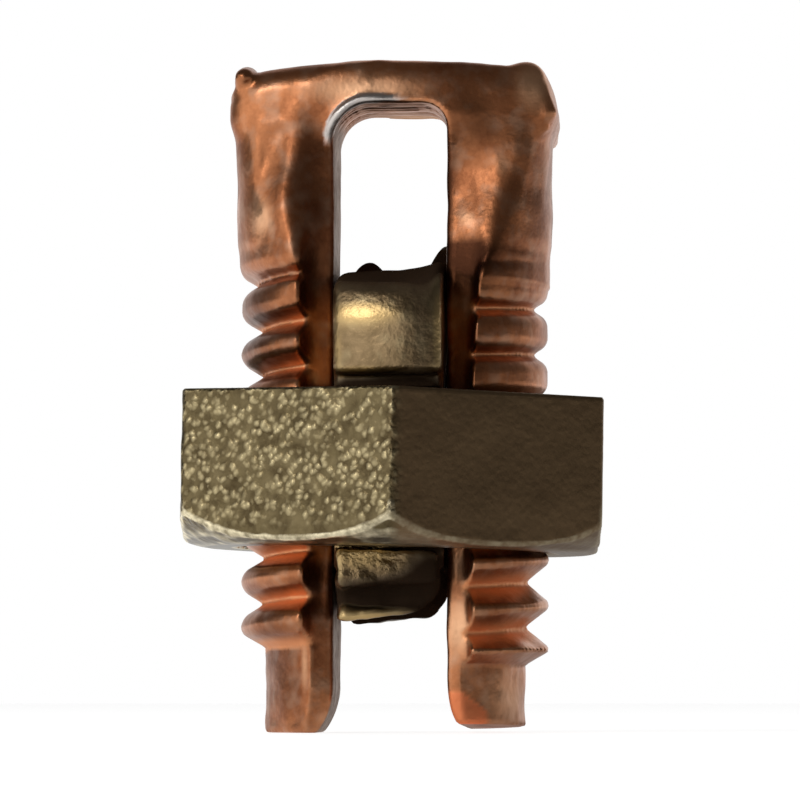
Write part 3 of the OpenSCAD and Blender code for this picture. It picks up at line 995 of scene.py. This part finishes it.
BAR_SKIN = {
    "Clean": (0.29, 0.2, 0.105, 1),
    "Dull": (0.17, 0.115, 0.057, 1),
    "Bloom": (0.4, 0.31, 0.17, 1),
    "Patch_Scale": 0.8,
}
# Colours of the painted highlight and of the painted shade and shadow, which also stand for rubbed metal and
# tarnish
BAR_HIGHLIGHT_AND_CLEAN = (0.76, 0.52, 0.22, 1)
BAR_SHADE_AND_TARNISH = (0.05, 0.03, 0.018, 1)
BAR_RUBBED = (0.62, 0.46, 0.23, 1)
BAR_RELIEF = 0.1


def new_metal(name):
    """Material with a fully metallic shader."""
    material = bpy.data.materials.new(name)
    material.use_nodes = True
    tree = material.node_tree
    shader = tree.nodes["Principled BSDF"]
    shader.inputs["Metallic"].default_value = 1.0
    return material, tree, shader


def relief(tree, shader, height, distance, strength=1.0):
    """Feeds a height to the shader's normal, with the relief's depth in millimetres."""
    bump = add_node(tree, "ShaderNodeBump")
    feed(tree, bump, Height=height, Distance=distance * MM, Strength=strength)
    tree.links.new(bump.outputs["Normal"], shader.inputs["Normal"])


def with_light_and_tarnish(tree, colour, highlight_and_clean, dark):
    """Colour lightened by painted highlights and rubbing, and darkened by painted shade, painted shadow and
    tarnish, following the piece's painted mark.
    """
    light_and_tarnish = mark_value(tree, "light_and_tarnish")
    colour = blend_colour(tree, ramp(tree, light_and_tarnish, 0.0, 1.0), colour, highlight_and_clean)
    return blend_colour(tree, ramp(tree, light_and_tarnish, 0.0, -1.0), colour, dark)


def worn_edges(tree, start, full, break_up):
    """Mask of the piece's rubbed outer edges."""
    bend = mark_value(tree, "bend")
    return use_group(tree, EDGE_WEAR, Bend=bend, Start=start, Full=full, Break_Up=break_up).outputs["Mask"]


def aged_copper():
    """Tarnished copper with painted highlights and painted shade: rubbed edges, bright groove bottoms,
    stained slot walls and one fresh cut.
    """
    material, tree, shader = new_metal("aged_copper")
    tarnish = use_group(tree, TARNISH, **COPPER_SKIN).outputs
    # Painted highlights and painted shade laid over the copper's colour
    colour = with_light_and_tarnish(tree, tarnish["Color"], COPPER_HIGHLIGHT_AND_CLEAN, COPPER_SHADE_AND_TARNISH)
    worn = worn_edges(tree, 0.3, 1.2, 0.8)
    rubbed = calc(tree, "MULTIPLY", worn, ramp(tree, mark_value(tree, "light_and_tarnish"), -0.5, 0.0, 0.0, 0.4))
    colour = blend_colour(tree, rubbed, colour, COPPER_RUBBED)
    groove = mark_value(tree, "groove")
    colour = blend_colour(tree, groove, colour, COPPER_GROOVE)
    slot_wall = mark_value(tree, "slot")
    stain = ramp(tree, noise(tree, 1.6, 4.0, piece_place(tree)), 0.4, 0.62)
    colour = blend_colour(tree, slot_wall, colour, blend_colour(tree, stain, WALL_PALE, WALL_STAIN))
    # Bead painted pale grey, partly a painted reflection
    colour = blend_colour(tree, mark_value(tree, "bead"), colour, BEAD_PALE)
    fresh = mark_value(tree, "cut")
    feed(tree, shader, Base_Color=blend_colour(tree, fresh, colour, COPPER_CUT))
    rough = ramp(tree, tarnish["Dullness"], 0.0, 1.0, 0.28, 0.44)
    matt = calc(tree, "ADD", calc(tree, "ADD", fresh, slot_wall), groove)
    feed(tree, shader, Roughness=calc(tree, "ADD", rough, calc(tree, "MULTIPLY", matt, 0.2)))
    height = use_group(tree, GRAIN, Scale=3.0, Detail=1.5).outputs["Height"]
    relief(tree, shader, height, COPPER_RELIEF)
    return material


def blasted_skin(tree):
    """Distance from the middle of the nearest grain of a blasted skin, with bent and uneven grains."""
    place = piece_place(tree)
    warp = add_node(tree, "ShaderNodeTexNoise")
    feed(tree, warp, Vector=place, Scale=1.7 / MM, Detail=2.0)
    bent = add_node(tree, "ShaderNodeVectorMath", operation="MULTIPLY_ADD")
    plug(tree, bent.inputs[0], warp.outputs["Color"])
    plug(tree, bent.inputs[1], (NUT_GRIT_BEND * MM, NUT_GRIT_BEND * MM, NUT_GRIT_BEND * MM))
    plug(tree, bent.inputs[2], place)
    grains = add_node(tree, "ShaderNodeTexVoronoi", feature="SMOOTH_F1")
    feed(tree, grains, Vector=bent.outputs[0], Scale=NUT_GRIT_PER_MM / MM, Smoothness=0.3)
    roughened = calc(tree, "MULTIPLY", noise(tree, 2.6, 3.0, place), 0.6)
    return calc(tree, "ADD", grains.outputs["Distance"], roughened)


def cast_brass():
    """Dull brass with a blasted skin: bright dots painted as glints on the lit half, and its own colour and
    a smoother skin on the half turned from the light.
    """
    material, tree, shader = new_metal("cast_brass")
    tarnish = use_group(tree, TARNISH, **NUT_SKIN).outputs
    shaded_half = mark_value(tree, "shaded_half")
    lit_grit = mark_value(tree, "lit_grit")
    from_middle = blasted_skin(tree)
    # Bright dots painted as glints on the blasted skin of the lit half
    glint_specks = calc(tree, "MULTIPLY", ramp(tree, from_middle, 0.84, 0.3, 0.0, 0.8), lit_grit)
    patchy = ramp(tree, noise(tree, 1.3, 2.0, piece_place(tree)), 0.35, 0.65, 0.45, 1.0)
    # Painted shade: the nut's half turned from the light gets its own colour
    colour = blend_colour(tree, shaded_half, tarnish["Color"], NUT_SHADED_HALF)
    colour = blend_colour(tree, calc(tree, "MULTIPLY", glint_specks, patchy), colour, NUT_PAINTED_GLINT)
    worn = worn_edges(tree, 0.26, 0.75, 0.75)
    # Painted highlight along the rubbed rim, strongest on the lit half
    rubbed = calc(tree, "MULTIPLY", worn, ramp(tree, shaded_half, 0.0, 1.0, 1.0, 0.3))
    feed(tree, shader, Base_Color=blend_colour(tree, rubbed, colour, NUT_RUBBED_AND_HIGHLIGHT))
    feed(tree, shader, Roughness=ramp(tree, shaded_half, 0.0, 1.0, 0.3, 0.42))
    height = calc(tree, "SUBTRACT", 1.0, from_middle)
    relief(tree, shader, height, NUT_RELIEF, ramp(tree, lit_grit, 0.0, 1.0, 0.2, 1.0))
    return material


def bar_brass():
    """Cast brass with a painted golden highlight where the wires bear and rub it, and painted black shade
    and shadow on its jaw's top, below its jaw and on its foot.
    """
    material, tree, shader = new_metal("bar_brass")
    tarnish = use_group(tree, TARNISH, **BAR_SKIN).outputs
    worn = calc(tree, "MULTIPLY", worn_edges(tree, 0.3, 1.0, 0.5), 0.5)
    colour = blend_colour(tree, worn, tarnish["Color"], BAR_RUBBED)
    feed(tree, shader, Base_Color=with_light_and_tarnish(tree, colour, BAR_HIGHLIGHT_AND_CLEAN, BAR_SHADE_AND_TARNISH))
    # Metal turned off where the painted shade and shadow are darkest, so that they show no reflection
    metal_outside_shade = ramp(tree, mark_value(tree, "light_and_tarnish"), -0.3, -0.95, 1.0, 0.0)
    feed(tree, shader, Roughness=0.34, Metallic=metal_outside_shade)
    feed(tree, shader, Specular_IOR_Level=calc(tree, "MULTIPLY", metal_outside_shade, 0.5))
    height = use_group(tree, GRAIN, Scale=3.4, Detail=2.5).outputs["Height"]
    relief(tree, shader, height, BAR_RELIEF, mark_value(tree, "pits"))
    return material


# Pieces

# Width of the cells that each skin is built on, in millimetres
BOLT_CELL = 0.178
NUT_CELL = 0.15
BAR_CELL = 0.13

bolt = make_piece("bolt_copper", bolt_field, bolt_low, bolt_high, BOLT_CELL, {
    "bend": lambda points: bend_of(bolt_field, points, BEND_REACH),
    "light_and_tarnish": lambda points: light_and_tarnish_of(points, BOLT_LIGHT_AND_TARNISH),
    "groove": groove_marks,
    "slot": slot_marks,
    "bead": bead_marks,
    "cut": cut_marks,
})
nut = make_piece("nut_brass", nut_field, nut_low, nut_high, NUT_CELL, {
    "bend": nut_bend,
    "shaded_half": lambda points: shaded_half_of(points[:, 0], points[:, 1]),
    "lit_grit": lit_grit_of,
})
bar = make_piece("bar_brass", bar_field, bar_low, bar_high + (0, 0, BURR_RIGHT), BAR_CELL, {
    "bend": lambda points: bend_of(bar_field, points, BEND_REACH),
    "light_and_tarnish": bar_light_and_tarnish,
    "pits": pits_of,
})
place_piece(bolt, "bolt", "split_bolt", aged_copper())
place_piece(nut, "nut", "hex_nut", cast_brass())
place_piece(bar, "bar", "pressure_bar", bar_brass())


# Stage, light and camera, in metres

FLOOR_HALF = 2.0
# How the metal sees the floor and the room: from and to along an axis, and the strength at both
FLOOR_BEHIND = (-0.02, 0.15, 0.15, 0.8)
FLOOR_BESIDE = (0.01, -0.03, 0.2, 0.85)
ROOM_BEHIND = (0.5, 0.95, 0.09, 1.0)
CENTRE = Vector((0.00025, 0, 0.0169))
CAMERA_DISTANCE = 0.25
CAMERA_AZIMUTH = math.radians(3)
CAMERA_ELEVATION = math.radians(-3.5)
FOCAL_PIXELS = 4905
PICTURE_PIXELS = 800


def white_paper():
    """Matt white to the eye, which still takes the shadow; metal shows its front right dimmer."""
    material = bpy.data.materials.new("white_paper")
    material.use_nodes = True
    tree = material.node_tree
    shader = tree.nodes["Principled BSDF"]
    feed(tree, shader, Base_Color=(0.8, 0.8, 0.8, 1), Roughness=1.0)
    feed(tree, shader, Emission_Color=(1, 1, 1, 1))
    path = add_node(tree, "ShaderNodeLightPath").outputs
    split = add_node(tree, "ShaderNodeSeparateXYZ")
    tree.links.new(piece_place(tree), split.inputs[0])
    mirrored = calc(tree, "MAXIMUM", path["Is Glossy Ray"], path["Is Transmission Ray"])
    behind = ramp(tree, split.outputs["Y"], *FLOOR_BEHIND)
    beside = ramp(tree, split.outputs["X"], *FLOOR_BESIDE)
    in_metal = calc(tree, "MULTIPLY", mirrored, calc(tree, "MAXIMUM", behind, beside))
    to_eye = calc(tree, "MULTIPLY", path["Is Camera Ray"], 0.8)
    tree.links.new(calc(tree, "MAXIMUM", to_eye, in_metal), shader.inputs["Emission Strength"])
    return material


def make_floor():
    mesh = bpy.data.meshes.new("floor")
    corners = [(x * FLOOR_HALF, y * FLOOR_HALF, 0) for x, y in ((-1, -1), (1, -1), (1, 1), (-1, 1))]
    mesh.from_pydata(corners, [], [(0, 1, 2, 3)])
    floor = bpy.data.objects.new("floor", mesh)
    bpy.context.scene.collection.objects.link(floor)
    floor.data.materials.append(white_paper())


def make_world():
    """White to the camera; in the metal it is white behind the part and dim in front of it."""
    world = bpy.data.worlds.new("studio")
    bpy.context.scene.world = world
    world.use_nodes = True
    tree = world.node_tree
    path = add_node(tree, "ShaderNodeLightPath").outputs
    split = add_node(tree, "ShaderNodeSeparateXYZ")
    tree.links.new(add_node(tree, "ShaderNodeTexCoord").outputs["Generated"], split.inputs[0])
    room = ramp(tree, split.outputs["Y"], *ROOM_BEHIND)
    strength = calc(tree, "MAXIMUM", room, path["Is Camera Ray"])
    feed(tree, tree.nodes["Background"], Color=(1, 1, 1, 1), Strength=strength)


def aim(thing, place, target):
    thing.location = place
    thing.rotation_mode = "QUATERNION"
    thing.rotation_quaternion = (Vector(target) - Vector(place)).to_track_quat("-Z", "Y")
    bpy.context.scene.collection.objects.link(thing)


def softbox(name, place, width, height, watts):
    """Lit rectangle that faces the part."""
    data = bpy.data.lights.new(name, "AREA")
    data.shape = "RECTANGLE"
    data.size = width
    data.size_y = height
    data.energy = watts
    aim(bpy.data.objects.new(name, data), place, CENTRE)


def make_camera():
    data = bpy.data.cameras.new("camera")
    data.sensor_width = 36
    data.lens = FOCAL_PIXELS / PICTURE_PIXELS * data.sensor_width
    data.clip_start = 0.01
    camera = bpy.data.objects.new("camera", data)
    flat = math.cos(CAMERA_ELEVATION)
    right = math.sin(CAMERA_AZIMUTH) * flat
    back = -math.cos(CAMERA_AZIMUTH) * flat
    away = Vector((right, back, math.sin(CAMERA_ELEVATION)))
    aim(camera, CENTRE + away * CAMERA_DISTANCE, CENTRE)
    bpy.context.scene.camera = camera


make_floor()
make_world()
softbox("window", place=(-0.40, -0.30, 0.1), width=0.85, height=0.5, watts=1.3)
softbox("glint", place=(-0.3, -0.36, 0.25), width=0.16, height=0.16, watts=0.3)
make_camera()
bpy.context.scene.view_settings.view_transform = "Standard"
